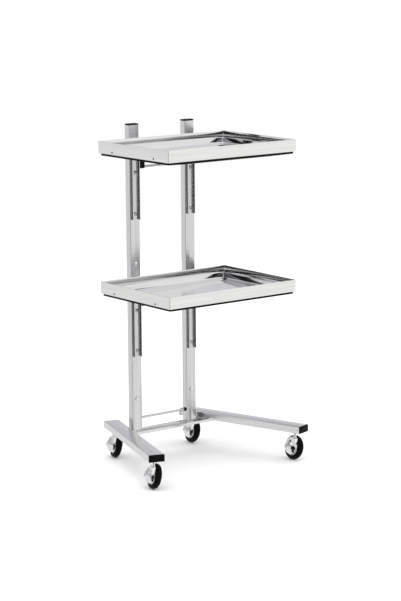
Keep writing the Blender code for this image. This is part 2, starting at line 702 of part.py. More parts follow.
def tyre(name, frame):
    turned(name, TYRE_PROFILE, WHEEL_SIDES, black_rubber(name), frame)


def wheel(name, frame):
    """The chromed bowl inside the tyre, domed under the hood, with a boss on the axle."""
    bore = AXLE_RADIUS + CLEARANCE
    gap = BOWL_GAP
    wall = HOOD_WALL
    rim = TYRE_BORE_RADIUS - CLEARANCE
    dome_radius = min(HOOD_RADIUS - HOOD_WALL - gap, rim)
    outside = crown_profile(dome_radius, HOOD_MOUTH, HOOD_RISE - HOOD_WALL - gap, bore)
    inside = crown_profile(dome_radius - wall, HOOD_MOUTH,
                           HOOD_RISE - HOOD_WALL - gap - wall, 2 * bore)
    edge = TYRE_HALF_WIDTH
    profile = outside[:-1]
    profile += [(rim, HOOD_MOUTH - gap), (rim, -edge), (rim - wall, -edge)]
    profile += inside[:0:-1]
    profile += [(2 * bore, -edge), (bore, -edge)]
    turned(name, profile, WHEEL_SIDES, chrome(name), frame)


def axle(name, frame):
    """A headed pin, fixed in the hood, that the wheel turns on."""
    boss_end = -TYRE_HALF_WIDTH - CLEARANCE
    head_end = boss_end - AXLE_HEAD_LENGTH
    tip = HOOD_MOUTH + HOOD_RISE
    profile = (
        (0.0, tip),
        (AXLE_RADIUS, tip),
        (AXLE_RADIUS, boss_end),
        (AXLE_HEAD_RADIUS, boss_end),
        (AXLE_HEAD_RADIUS, head_end),
        (0.0, head_end),
    )
    turned(name, profile, STEM_SIDES, polished_steel(name), frame)


def caster(end, side, y):
    prefix = f"{end}_{side}_caster_"
    frame = caster_frame(end, side, y)
    middle = wheel_frame(frame)
    stem(prefix + "stem", frame)
    hood(prefix + "hood", frame, middle)
    wheel(prefix + "wheel", middle)
    tyre(prefix + "tyre", middle)
    axle(prefix + "axle", middle)


# ---------------------------------------------------------------- assembly
def build_cart():
    clear_scene()
    for side in SIDES:
        leg(side)
    cross_bar()
    for end, y in caster_stations():
        for side in SIDES:
            caster(end, side, y)
    for side, centre_x in POST_CENTRES.items():
        post(side, centre_x)
        post_cap(side, centre_x)
    tie_rods()
    for level, rim_z in RIMS.items():
        for side, centre_x in POST_CENTRES.items():
            bracket(level, rim_z, side, centre_x)
        under_pan(level, rim_z)
        shelf_frame(level, rim_z)
        lift_out_pan(level, rim_z)


build_cart()
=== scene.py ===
import json
import math

import bmesh
import bpy
from mathutils import Matrix, Vector


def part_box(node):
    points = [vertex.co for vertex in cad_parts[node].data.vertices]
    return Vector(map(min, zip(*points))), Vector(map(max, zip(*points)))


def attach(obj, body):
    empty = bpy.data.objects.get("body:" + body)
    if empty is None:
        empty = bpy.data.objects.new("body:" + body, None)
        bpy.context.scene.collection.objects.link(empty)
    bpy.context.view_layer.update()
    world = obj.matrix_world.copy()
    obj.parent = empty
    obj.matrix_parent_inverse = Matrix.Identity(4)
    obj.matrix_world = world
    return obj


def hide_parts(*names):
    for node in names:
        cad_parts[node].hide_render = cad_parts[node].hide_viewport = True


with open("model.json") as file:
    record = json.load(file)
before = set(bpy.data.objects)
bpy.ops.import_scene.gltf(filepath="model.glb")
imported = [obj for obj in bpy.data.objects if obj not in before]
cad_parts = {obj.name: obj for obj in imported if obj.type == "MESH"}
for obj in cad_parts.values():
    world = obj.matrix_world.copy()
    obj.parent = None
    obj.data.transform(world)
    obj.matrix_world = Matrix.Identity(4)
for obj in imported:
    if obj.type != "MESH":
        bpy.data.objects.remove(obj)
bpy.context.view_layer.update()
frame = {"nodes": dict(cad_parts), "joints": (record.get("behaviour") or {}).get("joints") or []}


# ------------------------------------------------------------------ legs
# Two lengths of rectangular stainless tube, splayed like a V, that stand on the casters.
# The tube is drawn with round corners and its faces are belt-brushed along its length.
LEG_WIDTH = 0.0520
LEG_SPLAY = math.radians(17.9)
LEG_SIDES = {"left": -1.0, "right": 1.0}
TUBE_CORNER = 0.0020
TUBE_WALL = 0.0015
CREASE = 35
MERGE_WITHIN = 0.0000001
STEEL_GREY = (0.770, 0.765, 0.775)


def round_rectangle(half_x, half_y, radius, steps=4):
    """Points round a rectangle with round corners, anticlockwise, from its +X +Y corner."""
    points = []
    for turn, (side_x, side_y) in enumerate(((1, 1), (-1, 1), (-1, -1), (1, -1))):
        for step in range(steps + 1):
            angle = math.pi / 2 * (turn + step / steps)
            points.append(Vector((side_x * (half_x - radius) + radius * math.cos(angle),
                                  side_y * (half_y - radius) + radius * math.sin(angle), 0.0)))
    return points


def skin(bm, rings, joined=False, closed=False):
    """Faces between rings of points; joined links the last ring to the first."""
    loops = [[bm.verts.new(point) for point in ring] for ring in rings]
    pairs = list(zip(loops, loops[1:]))
    if joined:
        pairs.append((loops[-1], loops[0]))
    for lower, upper in pairs:
        for i in range(len(lower)):
            j = (i + 1) % len(lower)
            bm.faces.new((lower[i], lower[j], upper[j], upper[i]))
    if closed:
        bm.faces.new(loops[0])
        bm.faces.new(loops[-1])
    return loops


def tube(bm, half_x, half_y, length, place):
    """A rectangular tube along the Z of place, from 0 to length."""
    outer = round_rectangle(half_x, half_y, TUBE_CORNER)
    inner = round_rectangle(half_x - TUBE_WALL, half_y - TUBE_WALL, TUBE_CORNER - TUBE_WALL)
    up = Vector((0.0, 0.0, length))
    rings = [outer, [p + up for p in outer], [p + up for p in inner], inner]
    skin(bm, [[place @ point for point in ring] for ring in rings], joined=True)


def shown(name, bm, material, body, nodes, crease=CREASE):
    """Makes the mesh a piece that rides on its body in place of its CAD nodes."""
    bmesh.ops.remove_doubles(bm, verts=bm.verts, dist=MERGE_WITHIN)
    bmesh.ops.recalc_face_normals(bm, faces=bm.faces)
    mesh = bpy.data.meshes.new(name)
    bm.to_mesh(mesh)
    bm.free()
    mesh.shade_smooth()
    mesh.set_sharp_from_angle(angle=math.radians(crease))
    mesh.materials.append(material)
    obj = bpy.data.objects.new(name, mesh)
    bpy.context.scene.collection.objects.link(obj)
    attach(obj, body)
    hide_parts(*nodes)
    return obj


def start_group(name, inputs, outputs):
    """An empty shader group with value or vector inputs and float outputs."""
    group = bpy.data.node_groups.new(name, "ShaderNodeTree")
    for label, kind, value in inputs:
        socket = group.interface.new_socket(label, in_out="INPUT", socket_type=kind)
        if value is not None:
            socket.default_value = value
    for label in outputs:
        group.interface.new_socket(label, in_out="OUTPUT", socket_type="NodeSocketFloat")
    return group, group.nodes.new("NodeGroupInput"), group.nodes.new("NodeGroupOutput")


def brush_grain_group():
    """Fine parallel scratches along X: a height, and a slow tone from pass to pass."""
    group, taken, given = start_group(
        "Brush grain",
        (("Vector", "NodeSocketVector", None),
         ("Scratches per metre", "NodeSocketFloat", 1400.0),
         ("Stretch", "NodeSocketFloat", 0.012)),
        ("Height", "Tone"))
    nodes, links = group.nodes, group.links
    across = nodes.new("ShaderNodeVectorMath")
    across.operation = "SCALE"
    links.new(taken.outputs["Vector"], across.inputs[0])
    links.new(taken.outputs["Scratches per metre"], across.inputs["Scale"])
    parts = nodes.new("ShaderNodeSeparateXYZ")
    links.new(across.outputs[0], parts.inputs[0])
    along = nodes.new("ShaderNodeMath")
    along.operation = "MULTIPLY"
    links.new(parts.outputs["X"], along.inputs[0])
    links.new(taken.outputs["Stretch"], along.inputs[1])
    drawn = nodes.new("ShaderNodeCombineXYZ")
    links.new(along.outputs[0], drawn.inputs["X"])
    links.new(parts.outputs["Y"], drawn.inputs["Y"])
    links.new(parts.outputs["Z"], drawn.inputs["Z"])
    scratches = nodes.new("ShaderNodeTexNoise")
    scratches.inputs["Scale"].default_value = 1.0
    scratches.inputs["Detail"].default_value = 2.0
    links.new(drawn.outputs[0], scratches.inputs["Vector"])
    passes = nodes.new("ShaderNodeTexNoise")
    passes.inputs["Scale"].default_value = 0.16
    passes.inputs["Detail"].default_value = 3.0
    links.new(drawn.outputs[0], passes.inputs["Vector"])
    links.new(scratches.outputs["Fac"], given.inputs["Height"])
    links.new(passes.outputs["Fac"], given.inputs["Tone"])
    return group


def handling_group():
    """Broad, soft patches where hands and cloths have dulled the polish."""
    group, taken, given = start_group(
        "Handling marks",
        (("Vector", "NodeSocketVector", None), ("Patches per metre", "NodeSocketFloat", 14.0)),
        ("Dulling",))
    nodes, links = group.nodes, group.links
    patches = nodes.new("ShaderNodeTexNoise")
    patches.inputs["Detail"].default_value = 4.0
    patches.inputs["Roughness"].default_value = 0.6
    links.new(taken.outputs["Vector"], patches.inputs["Vector"])
    links.new(taken.outputs["Patches per metre"], patches.inputs["Scale"])
    soften = nodes.new("ShaderNodeMapRange")
    soften.inputs["From Min"].default_value = 0.42
    soften.inputs["From Max"].default_value = 0.72
    links.new(patches.outputs["Fac"], soften.inputs["Value"])
    links.new(soften.outputs[0], given.inputs["Dulling"])
    return group


BRUSH_GRAIN = brush_grain_group()
HANDLING = handling_group()


def plain_finish(name, colour, metallic, roughness):
    """A material with one Principled shader, which the finishes below build on."""
    material = bpy.data.materials.new(name)
    material.use_nodes = True
    shader = material.node_tree.nodes["Principled BSDF"]
    shader.inputs["Base Color"].default_value = (*colour, 1.0)
    shader.inputs["Metallic"].default_value = metallic
    shader.inputs["Roughness"].default_value = roughness
    return material, shader


def from_tone(tree, tone, low, high):
    """A value that runs from low to high as the tone runs from 0.3 to 0.7."""
    spread = tree.nodes.new("ShaderNodeMapRange")
    spread.inputs["From Min"].default_value = 0.3
    spread.inputs["From Max"].default_value = 0.7
    spread.inputs["To Min"].default_value = low
    spread.inputs["To Max"].default_value = high
    tree.links.new(tone, spread.inputs["Value"])
    return spread.outputs[0]


def brushed(name, turn, colour=STEEL_GREY, roughness=0.17, scratch_height=0.0000012):
    """Belt-brushed stainless steel; turn takes object axes to the grain's, X along it."""
    material, shader = plain_finish(name, colour, 1.0, roughness)
    tree = material.node_tree
    nodes, links = tree.nodes, tree.links
    place = nodes.new("ShaderNodeTexCoord")
    lie = nodes.new("ShaderNodeMapping")
    lie.vector_type = "TEXTURE"
    lie.inputs["Rotation"].default_value = turn
    links.new(place.outputs["Object"], lie.inputs["Vector"])
    grain = nodes.new("ShaderNodeGroup")
    grain.node_tree = BRUSH_GRAIN
    links.new(lie.outputs[0], grain.inputs["Vector"])
    marks = nodes.new("ShaderNodeGroup")
    marks.node_tree = HANDLING
    links.new(place.outputs["Object"], marks.inputs["Vector"])
    tint = nodes.new("ShaderNodeMix")
    tint.data_type = "RGBA"
    tint.inputs["A"].default_value = (*(0.93 * c for c in colour), 1.0)
    tint.inputs["B"].default_value = (*(min(1.0, 1.05 * c) for c in colour), 1.0)
    links.new(from_tone(tree, grain.outputs["Tone"], 0.0, 1.0), tint.inputs["Factor"])
    links.new(tint.outputs["Result"], shader.inputs["Base Color"])
    dulled = nodes.new("ShaderNodeMath")
    dulled.operation = "MULTIPLY_ADD"
    dulled.inputs[1].default_value = 0.05
    links.new(marks.outputs["Dulling"], dulled.inputs[0])
    links.new(from_tone(tree, grain.outputs["Tone"], roughness * 1.2, roughness * 0.8),
              dulled.inputs[2])
    links.new(dulled.outputs[0], shader.inputs["Roughness"])
    bump = nodes.new("ShaderNodeBump")
    bump.inputs["Strength"].default_value = 0.6
    bump.inputs["Distance"].default_value = scratch_height
    links.new(grain.outputs["Height"], bump.inputs["Height"])
    links.new(bump.outputs[0], shader.inputs["Normal"])
    return material


def leg_place(side):
    """The middle of a leg's rear end; its Y runs forward along the leg and its Z is up."""
    low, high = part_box(side + "_leg")
    across = LEG_WIDTH * math.sin(LEG_SPLAY)
    length = (high.y - low.y - across) / math.cos(LEG_SPLAY)
    turn = Matrix.Rotation(LEG_SIDES[side] * LEG_SPLAY + math.pi, 4, "Z")
    middle = Matrix.Translation((low + high) / 2) @ turn
    return middle @ Matrix.Translation((0.0, -length / 2, 0.0)), length, high.z - low.z


for side in LEG_SIDES:
    rear_end, length, height = leg_place(side)
    lying = rear_end @ Matrix.Rotation(-math.pi / 2, 4, "X")
    bm = bmesh.new()
    tube(bm, LEG_WIDTH / 2, height / 2, length, lying)
    grain_turn = (0.0, 0.0, LEG_SIDES[side] * LEG_SPLAY + math.pi / 2)
    shown(side + "_leg_tube", bm, brushed(side + "_leg_steel", grain_turn),
          "stand", [side + "_leg"])


# ------------------------------------------------------------------ leg end caps
# Black moulded plugs pressed into both ends of each leg, flush with its faces.
# The visible end is a slab with softened edges and a faint moulded texture.
CAP_EDGE = 0.0012


def eased_block(bm, size, radius, place, steps=3):
    """A block of this size about the origin of place, with its edges rounded."""
    made = bmesh.ops.create_cube(bm, size=1.0, matrix=Matrix.Diagonal((*size, 1.0)))
    edges = {edge for vert in made["verts"] for edge in vert.link_edges}
    before = set(bm.verts) - set(made["verts"])
    bmesh.ops.bevel(bm, geom=list(edges), offset=radius, offset_type="OFFSET",
                    segments=steps, profile=0.5, affect="EDGES")
    for vert in bm.verts:
        if vert not in before:
            vert.co = place @ vert.co


def moulded(name, colour=(0.0032, 0.0032, 0.0036), roughness=0.42):
    """Black moulded plastic: fine spark texture and slightly uneven gloss."""
    material, shader = plain_finish(name, colour, 0.0, roughness)
    shader.inputs["Specular IOR Level"].default_value = 0.08
    tree = material.node_tree
    nodes, links = tree.nodes, tree.links
    place = nodes.new("ShaderNodeTexCoord")
    marks = nodes.new("ShaderNodeGroup")
    marks.node_tree = HANDLING
    marks.inputs["Patches per metre"].default_value = 60.0
    links.new(place.outputs["Object"], marks.inputs["Vector"])
    gloss = nodes.new("ShaderNodeMath")
    gloss.operation = "MULTIPLY_ADD"
    gloss.inputs[1].default_value = 0.16
    gloss.inputs[2].default_value = roughness
    links.new(marks.outputs["Dulling"], gloss.inputs[0])
    links.new(gloss.outputs[0], shader.inputs["Roughness"])
    spark = nodes.new("ShaderNodeTexNoise")
    spark.inputs["Scale"].default_value = 2600.0
    spark.inputs["Detail"].default_value = 2.0
    links.new(place.outputs["Object"], spark.inputs["Vector"])
    bump = nodes.new("ShaderNodeBump")
    bump.inputs["Strength"].default_value = 0.5
    bump.inputs["Distance"].default_value = 0.00006
    links.new(spark.outputs["Fac"], bump.inputs["Height"])
    links.new(bump.outputs[0], shader.inputs["Normal"])
    return material


BLACK_MOULDING = moulded("black_moulding")
CAP_THICKNESS = 0.0040
for side in LEG_SIDES:
    rear_end, length, height = leg_place(side)
    for end, along in (("rear", -CAP_THICKNESS / 2), ("front", length + CAP_THICKNESS / 2)):
        bm = bmesh.new()
        eased_block(bm, (LEG_WIDTH, CAP_THICKNESS, height), CAP_EDGE,
                    rear_end @ Matrix.Translation((0.0, along, 0.0)))
        shown(f"{side}_leg_{end}_plug", bm, BLACK_MOULDING, "stand",
              [f"{side}_leg_{end}_cap"])


# ------------------------------------------------------------------ cross bar
# A flat stainless bar screwed up against both legs; the posts stand on it.
# Sawn ends, eased edges, brushed along its length.
BAR_EDGE = 0.0010
low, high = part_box("cross_bar")
bm = bmesh.new()
eased_block(bm, high - low, BAR_EDGE, Matrix.Translation((low + high) / 2), 2)
shown("flat_bar", bm, brushed("bar_steel", (0.0, 0.0, 0.0)), "stand", ["cross_bar"])


# ------------------------------------------------------------------ posts
# Two upright rectangular tubes, brushed along their length and welded to the cross bar.
ALONG_Z = (0.0, math.pi / 2, 0.0)
POST_STEEL = brushed("post_steel", ALONG_Z, (0.715, 0.71, 0.715))
for side in LEG_SIDES:
    low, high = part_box(side + "_post")
    bm = bmesh.new()
    middle = (low + high) / 2
    tube(bm, (high.x - low.x) / 2, (high.y - low.y) / 2, high.z - low.z,
         Matrix.Translation((middle.x, middle.y, low.z)))
    shown(side + "_post_tube", bm, POST_STEEL, "stand", [side + "_post"])


# ------------------------------------------------------------------ post caps
# Black push-in caps on the tops of the posts, the same moulding as on the legs.
POST_CAP_HEIGHT = 0.0042
for side in LEG_SIDES:
    low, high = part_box(side + "_post_cap")
    size = Vector((high.x - low.x, high.y - low.y, POST_CAP_HEIGHT))
    middle = Vector(((low.x + high.x) / 2, (low.y + high.y) / 2, high.z - POST_CAP_HEIGHT / 2))
    bm = bmesh.new()
    eased_block(bm, size, CAP_EDGE, Matrix.Translation(middle))
    shown(side + "_post_top", bm, BLACK_MOULDING, "stand", [side + "_post_cap"])


# ------------------------------------------------------------------ tie rods
# Bright drawn bars that tie the posts together: one at the foot, one under each shelf.
ROD_SIDES = 32


def turned(bm, profile, sides, place):
    """Turns (radius, height) points about the Z of place; a radius of 0 closes the end."""
    previous = None
    for radius, height in profile:
        if radius == 0.0:
            ring = [bm.verts.new(place @ Vector((0.0, 0.0, height)))]
        else:
            ring = []
            for i in range(sides):
                angle = 2 * math.pi * i / sides
                ring.append(bm.verts.new(place @ Vector((radius * math.cos(angle),
                                                         radius * math.sin(angle), height))))
        if previous is not None:
            for i in range(sides):
                j = (i + 1) % sides
                if len(previous) == 1:
                    bm.faces.new((previous[0], ring[j], ring[i]))
                elif len(ring) == 1:
                    bm.faces.new((previous[i], previous[j], ring[0]))
                else:
                    bm.faces.new((previous[i], previous[j], ring[j], ring[i]))
        previous = ring


def bright(name, turn, roughness=0.16):
    """Bright drawn bar and turned screws: smoother than the belt-brushed tubes."""
    return brushed(name, turn, (0.66, 0.65, 0.66), roughness, 0.0000015)


ROD_STEEL = bright("drawn_bar_steel", (0.0, 0.0, 0.0))
ROD_CHAMFER = 0.0006
for name in ("base_tie_rod", "lower_tie_rod", "upper_tie_rod"):
    low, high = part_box(name)
    radius = (high.z - low.z) / 2
    length = high.x - low.x
    start = Matrix.Translation((low.x, (low.y + high.y) / 2, (low.z + high.z) / 2))
    bm = bmesh.new()
    turned(bm, ((0.0, 0.0), (radius - ROD_CHAMFER, 0.0), (radius, ROD_CHAMFER),
                (radius, length - ROD_CHAMFER), (radius - ROD_CHAMFER, length),
                (0.0, length)),
           ROD_SIDES, start @ Matrix.Rotation(math.pi / 2, 4, "Y"))
    shown(name.replace("tie_rod", "drawn_bar"), bm, ROD_STEEL, "stand", [name])


# ------------------------------------------------------------------ rod ends
# Black mouldings that hold the rods: a square block at each end of the two upper rods and
# a thin ring at each end of the foot rod.
BLOCK_EDGE = 0.0018
RING_BORE = 0.0043
RING_NOSE = ((1.0, 0.0), (1.0, 0.55), (0.96, 0.80), (0.86, 0.96), (0.78, 1.0))
for level in ("lower", "upper"):
    for side in LEG_SIDES:
        node = f"{level}_tie_rod_{side}_block"
        low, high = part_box(node)
        bm = bmesh.new()
        eased_block(bm, high - low, BLOCK_EDGE, Matrix.Translation((low + high) / 2))
        shown(f"{level}_{side}_rod_block", bm, BLACK_MOULDING, "stand", [node])
for side, sign in LEG_SIDES.items():
    node = f"base_tie_rod_{side}_ferrule"
    low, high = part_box(node)
    outer = (high.z - low.z) / 2
    length = high.x - low.x
    wall_x = low.x if sign < 0 else high.x
    place = Matrix.Translation((wall_x, (low.y + high.y) / 2, (low.z + high.z) / 2))
    bm = bmesh.new()
    nose = [(outer * share, length * along) for share, along in RING_NOSE]
    turned(bm, [(RING_BORE, 0.0), *nose, (RING_BORE, length), (RING_BORE, 0.0)],
           ROD_SIDES, place @ Matrix.Rotation(-sign * math.pi / 2, 4, "Y"))
    shown(f"{side}_rod_ring", bm, BLACK_MOULDING, "stand", [node])


# ------------------------------------------------------------------ brackets
# Channels folded from 2 mm sheet, screwed to the posts; an arm from each one reaches
# forward under its shelf and carries it.
SHEET = 0.0020
BEND = 0.0032
ARM_HEIGHT = 0.0120
FLANGE_DEPTH = 0.0120


def channel_outline(width, depth, steps=4):
    """Section of a U-channel, open towards +Y, its web on the X axis."""
    half = width / 2
    outer = [Vector((-half, depth))]
    inner = [Vector((-half + SHEET, depth))]
    for sign, first in ((-1.0, math.pi), (1.0, 1.5 * math.pi)):
        centre = Vector((sign * (half - BEND), BEND))
        for step in range(steps + 1):
            angle = first + math.pi / 2 * step / steps
            ray = Vector((math.cos(angle), math.sin(angle)))
            outer.append(centre + ray * BEND)
            inner.append(centre + ray * (BEND - SHEET))
    outer.append(Vector((half, depth)))
    inner.append(Vector((half - SHEET, depth)))
    return outer + inner[::-1]


BRACKET_STEEL = brushed("bracket_steel", ALONG_Z, (0.70, 0.69, 0.69), 0.24, 0.0000003)
for level in ("lower", "upper"):
    for side in LEG_SIDES:
        node = f"{level}_{side}_bracket"
        low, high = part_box(node)
        width = high.x - low.x
        middle = (low.x + high.x) / 2
        bm = bmesh.new()
        section = [Vector((-p.x, -p.y, 0.0)) for p in channel_outline(width, FLANGE_DEPTH)]
        foot = Vector((middle, high.y, low.z))
        rise = Vector((0.0, 0.0, high.z - SHEET - low.z))
        skin(bm, [[foot + p for p in section], [foot + p + rise for p in section]],
             closed=True)
        section = [Vector((p.x, 0.0, -p.y)) for p in channel_outline(width, ARM_HEIGHT)]
        start = Vector((middle, low.y, high.z))
        reach = Vector((0.0, high.y - low.y, 0.0))
        skin(bm, [[start + p for p in section], [start + p + reach for p in section]],
             closed=True)
        shown(f"{level}_{side}_channel", bm, BRACKET_STEEL, "stand", [node])


# ------------------------------------------------------------------ screws and buttons
# Button-head socket screws hold the brackets, countersunk screws the ends of the shelves,
# and round domed buttons cover the unused holes on the posts' fronts.
HEAD_RADIUS = 0.0060
HEAD_HEIGHT = 0.0036
SOCKET_RADIUS = 0.0021
BUTTON_RADIUS = 0.0078
BUTTON_HEIGHT = 0.0032
SOCKET_EASE = 1.15
SOCKET_LIP = 0.96
SOCKET_FLOOR = 0.45
SOCKET_POINT = 0.35
DOME_EDGE = 0.25


def fastener(name, profile, sides):
    """One fastener, its head along +Z, that the tree below copies to each place."""
    bm = bmesh.new()
    turned(bm, profile, sides, Matrix.Identity(4))
    bmesh.ops.recalc_face_normals(bm, faces=bm.faces)
    mesh = bpy.data.meshes.new(name)
    bm.to_mesh(mesh)
    bm.free()
    mesh.shade_smooth()
    mesh.set_sharp_from_angle(angle=math.radians(CREASE))
    obj = bpy.data.objects.new(name, mesh)
    bpy.context.scene.collection.objects.link(obj)
    return obj


def fastener_tree():
    """Copies a fastener to every point, turned to the point's facing and then at random."""
    tree = bpy.data.node_groups.new("Fasteners at points", "GeometryNodeTree")
    face = tree.interface
    face.new_socket("Geometry", in_out="INPUT", socket_type="NodeSocketGeometry")
    face.new_socket("Fastener", in_out="INPUT", socket_type="NodeSocketObject")
    face.new_socket("Finish", in_out="INPUT", socket_type="NodeSocketMaterial")
    seed = face.new_socket("Seed", in_out="INPUT", socket_type="NodeSocketInt")
    seed.default_value = 3
    face.new_socket("Geometry", in_out="OUTPUT", socket_type="NodeSocketGeometry")
    nodes, links = tree.nodes, tree.links
    taken = nodes.new("NodeGroupInput")
    given = nodes.new("NodeGroupOutput")
    info = nodes.new("GeometryNodeObjectInfo")
    links.new(taken.outputs["Fastener"], info.inputs["Object"])
    facing = nodes.new("GeometryNodeInputNamedAttribute")
    facing.data_type = "FLOAT_VECTOR"
    facing.inputs["Name"].default_value = "facing"
    align = nodes.new("FunctionNodeAlignRotationToVector")
    align.axis = "Z"
    links.new(facing.outputs["Attribute"], align.inputs["Vector"])
    place = nodes.new("GeometryNodeInstanceOnPoints")
    links.new(taken.outputs["Geometry"], place.inputs["Points"])
    links.new(info.outputs["Geometry"], place.inputs["Instance"])
    links.new(align.outputs["Rotation"], place.inputs["Rotation"])
    spin = nodes.new("FunctionNodeRandomValue")
    spin.data_type = "FLOAT_VECTOR"
    spin.inputs["Min"].default_value = (0.0, 0.0, 0.0)
    spin.inputs["Max"].default_value = (0.0, 0.0, math.pi)
    links.new(taken.outputs["Seed"], spin.inputs["Seed"])
    turn = nodes.new("GeometryNodeRotateInstances")
    links.new(place.outputs["Instances"], turn.inputs["Instances"])
    links.new(spin.outputs["Value"], turn.inputs["Rotation"])
    real = nodes.new("GeometryNodeRealizeInstances")
    links.new(turn.outputs["Instances"], real.inputs["Geometry"])
    finish = nodes.new("GeometryNodeSetMaterial")
    links.new(real.outputs["Geometry"], finish.inputs["Geometry"])
    links.new(taken.outputs["Finish"], finish.inputs["Material"])
    links.new(finish.outputs["Geometry"], given.inputs["Geometry"])
    return tree


FASTENER_TREE = fastener_tree()


def fasteners(name, one, places, material, nodes, body="stand"):
    """Sets the fastener at each (point, facing) and makes the lot one plain mesh."""
    mesh = bpy.data.meshes.new(name + "_places")
    mesh.from_pydata([point for point, facing in places], [], [])
    facing = mesh.attributes.new("facing", "FLOAT_VECTOR", "POINT")
    for item, (point, direction) in zip(facing.data, places):
        item.vector = direction
    points = bpy.data.objects.new(name + "_places", mesh)
    bpy.context.scene.collection.objects.link(points)
    modifier = points.modifiers.new("Fasteners", "NODES")
    modifier.node_group = FASTENER_TREE
    for item in FASTENER_TREE.interface.items_tree:
        if item.in_out == "INPUT" and item.name == "Fastener":
            modifier[item.identifier] = one
        if item.in_out == "INPUT" and item.name == "Finish":
            modifier[item.identifier] = material
    graph = bpy.context.evaluated_depsgraph_get()
    real = bpy.data.meshes.new_from_object(points.evaluated_get(graph))
    points.modifiers.remove(modifier)
    real.name = name
    obj = bpy.data.objects.new(name, real)
    bpy.context.scene.collection.objects.link(obj)
    bpy.data.objects.remove(points)
    bpy.data.objects.remove(one)
    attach(obj, body)
    if nodes:
        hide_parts(*nodes)


def button_profile(radius, height, socket=0.0):
    """Outline of a low dome, with a socket sunk in it where it is driven."""
    steps = 7
    dome = []
    for step in range(steps + 1):
        lean = math.pi / 2 * step / steps
        rise = DOME_EDGE + (1.0 - DOME_EDGE) * math.sin(lean)
        dome.append((radius * math.cos(lean), height * rise))
    if socket:
        mouth = socket * SOCKET_EASE
        dome = [point for point in dome if point[0] > mouth]
        dome += [(mouth, height), (socket, height * SOCKET_LIP),
                 (socket, height * SOCKET_FLOOR), (0.0, height * SOCKET_POINT)]
    else:
        dome[-1] = (0.0, height)
    return [(0.0, 0.0), (radius, 0.0)] + dome


FORWARD = (0.0, -1.0, 0.0)
SCREW_STEEL = bright("screw_steel", (0.0, 0.0, 0.0), 0.22)
places = []
screw_nodes = []
for level in ("lower", "upper"):
    for side in LEG_SIDES:
        for number in (1, 2):
            node = f"{level}_{side}_bracket_screw_{number}"
            low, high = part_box(node)
            places.append((((low.x + high.x) / 2, low.y + HEAD_HEIGHT, (low.z + high.z) / 2),
                           FORWARD))
            screw_nodes.append(node)
fasteners("bracket_screws",
          fastener("socket_screw", button_profile(HEAD_RADIUS, HEAD_HEIGHT, SOCKET_RADIUS), 30),
          places, SCREW_STEEL, screw_nodes)

BUTTON_ABOVE_RIM = 0.043
BUTTON_BELOW_RIM = 0.411
lower_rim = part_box("lower_tray_frame")[1].z
places = []
for side in LEG_SIDES:
    low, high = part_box(side + "_post")
    for z in (lower_rim + BUTTON_ABOVE_RIM, lower_rim - BUTTON_BELOW_RIM):
        places.append((((low.x + high.x) / 2, low.y, z), FORWARD))
BUTTON_STEEL = brushed("button_steel", (0.0, 0.0, 0.0), (0.86, 0.85, 0.86), 0.34)
fasteners("post_buttons",
          fastener("dome_button", button_profile(BUTTON_RADIUS, BUTTON_HEIGHT), 32),
          places, BUTTON_STEEL, [])

END_SCREW_IN = 0.0775
END_SCREW_UP = 0.0075
END_SCREW_RADIUS = 0.0030
END_SCREW_HEIGHT = 0.0012
END_SCREW_SOCKET = 0.0011
places = []
for level in ("lower", "upper"):
    low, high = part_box(level + "_tray_frame")
    for x, out in ((low.x, -1.0), (high.x, 1.0)):
        for y in (low.y + END_SCREW_IN, high.y - END_SCREW_IN):
            places.append(((x, y, low.z + END_SCREW_UP), (out, 0.0, 0.0)))
DARK_SCREW = moulded("blackened_screw", (0.03, 0.03, 0.032), 0.35)
fasteners("tray_end_screws",
          fastener("small_screw", button_profile(END_SCREW_RADIUS, END_SCREW_HEIGHT,
                                                 END_SCREW_SOCKET), 20),
          places, DARK_SCREW, [])


# ------------------------------------------------------------------ under pans
# A shallow pressing under each shelf, its sides running in to a flat bottom.
# Its near-black is painted shade: it stands in for the shade and dark reflections on the shelf's
# steel underside.
UNDER_SHEET = 0.0015
UNDER_LIP = 0.0066
UNDER_TOP_CORNER = 0.010
UNDER_FOOT_CORNER = 0.060
UNDER_FOOT_INSET = 0.024


def centred(ring, middle, z):
    """The ring moved to the middle of its piece, at the height z."""
    return [Vector((point.x + middle.x, point.y + middle.y, z)) for point in ring]


def shade_black_satin(name):
    """Near-black satin with a slight orange-peel: painted shade for the shaded steel underside of
    a shelf.
    """
    material, shader = plain_finish(name, (0.0045, 0.0040, 0.0036), 0.0, 0.38)
    shader.inputs["Specular IOR Level"].default_value = 0.05
    tree = material.node_tree
    place = tree.nodes.new("ShaderNodeTexCoord")
    peel = tree.nodes.new("ShaderNodeTexNoise")
    peel.inputs["Scale"].default_value = 420.0
    peel.inputs["Detail"].default_value = 1.0
    tree.links.new(place.outputs["Object"], peel.inputs["Vector"])
    tree.links.new(from_tone(tree, peel.outputs["Fac"], 0.32, 0.46),
                   shader.inputs["Roughness"])
    bump = tree.nodes.new("ShaderNodeBump")
    bump.inputs["Strength"].default_value = 0.4
    bump.inputs["Distance"].default_value = 0.0002
    tree.links.new(peel.outputs["Fac"], bump.inputs["Height"])
    tree.links.new(bump.outputs[0], shader.inputs["Normal"])
    return material
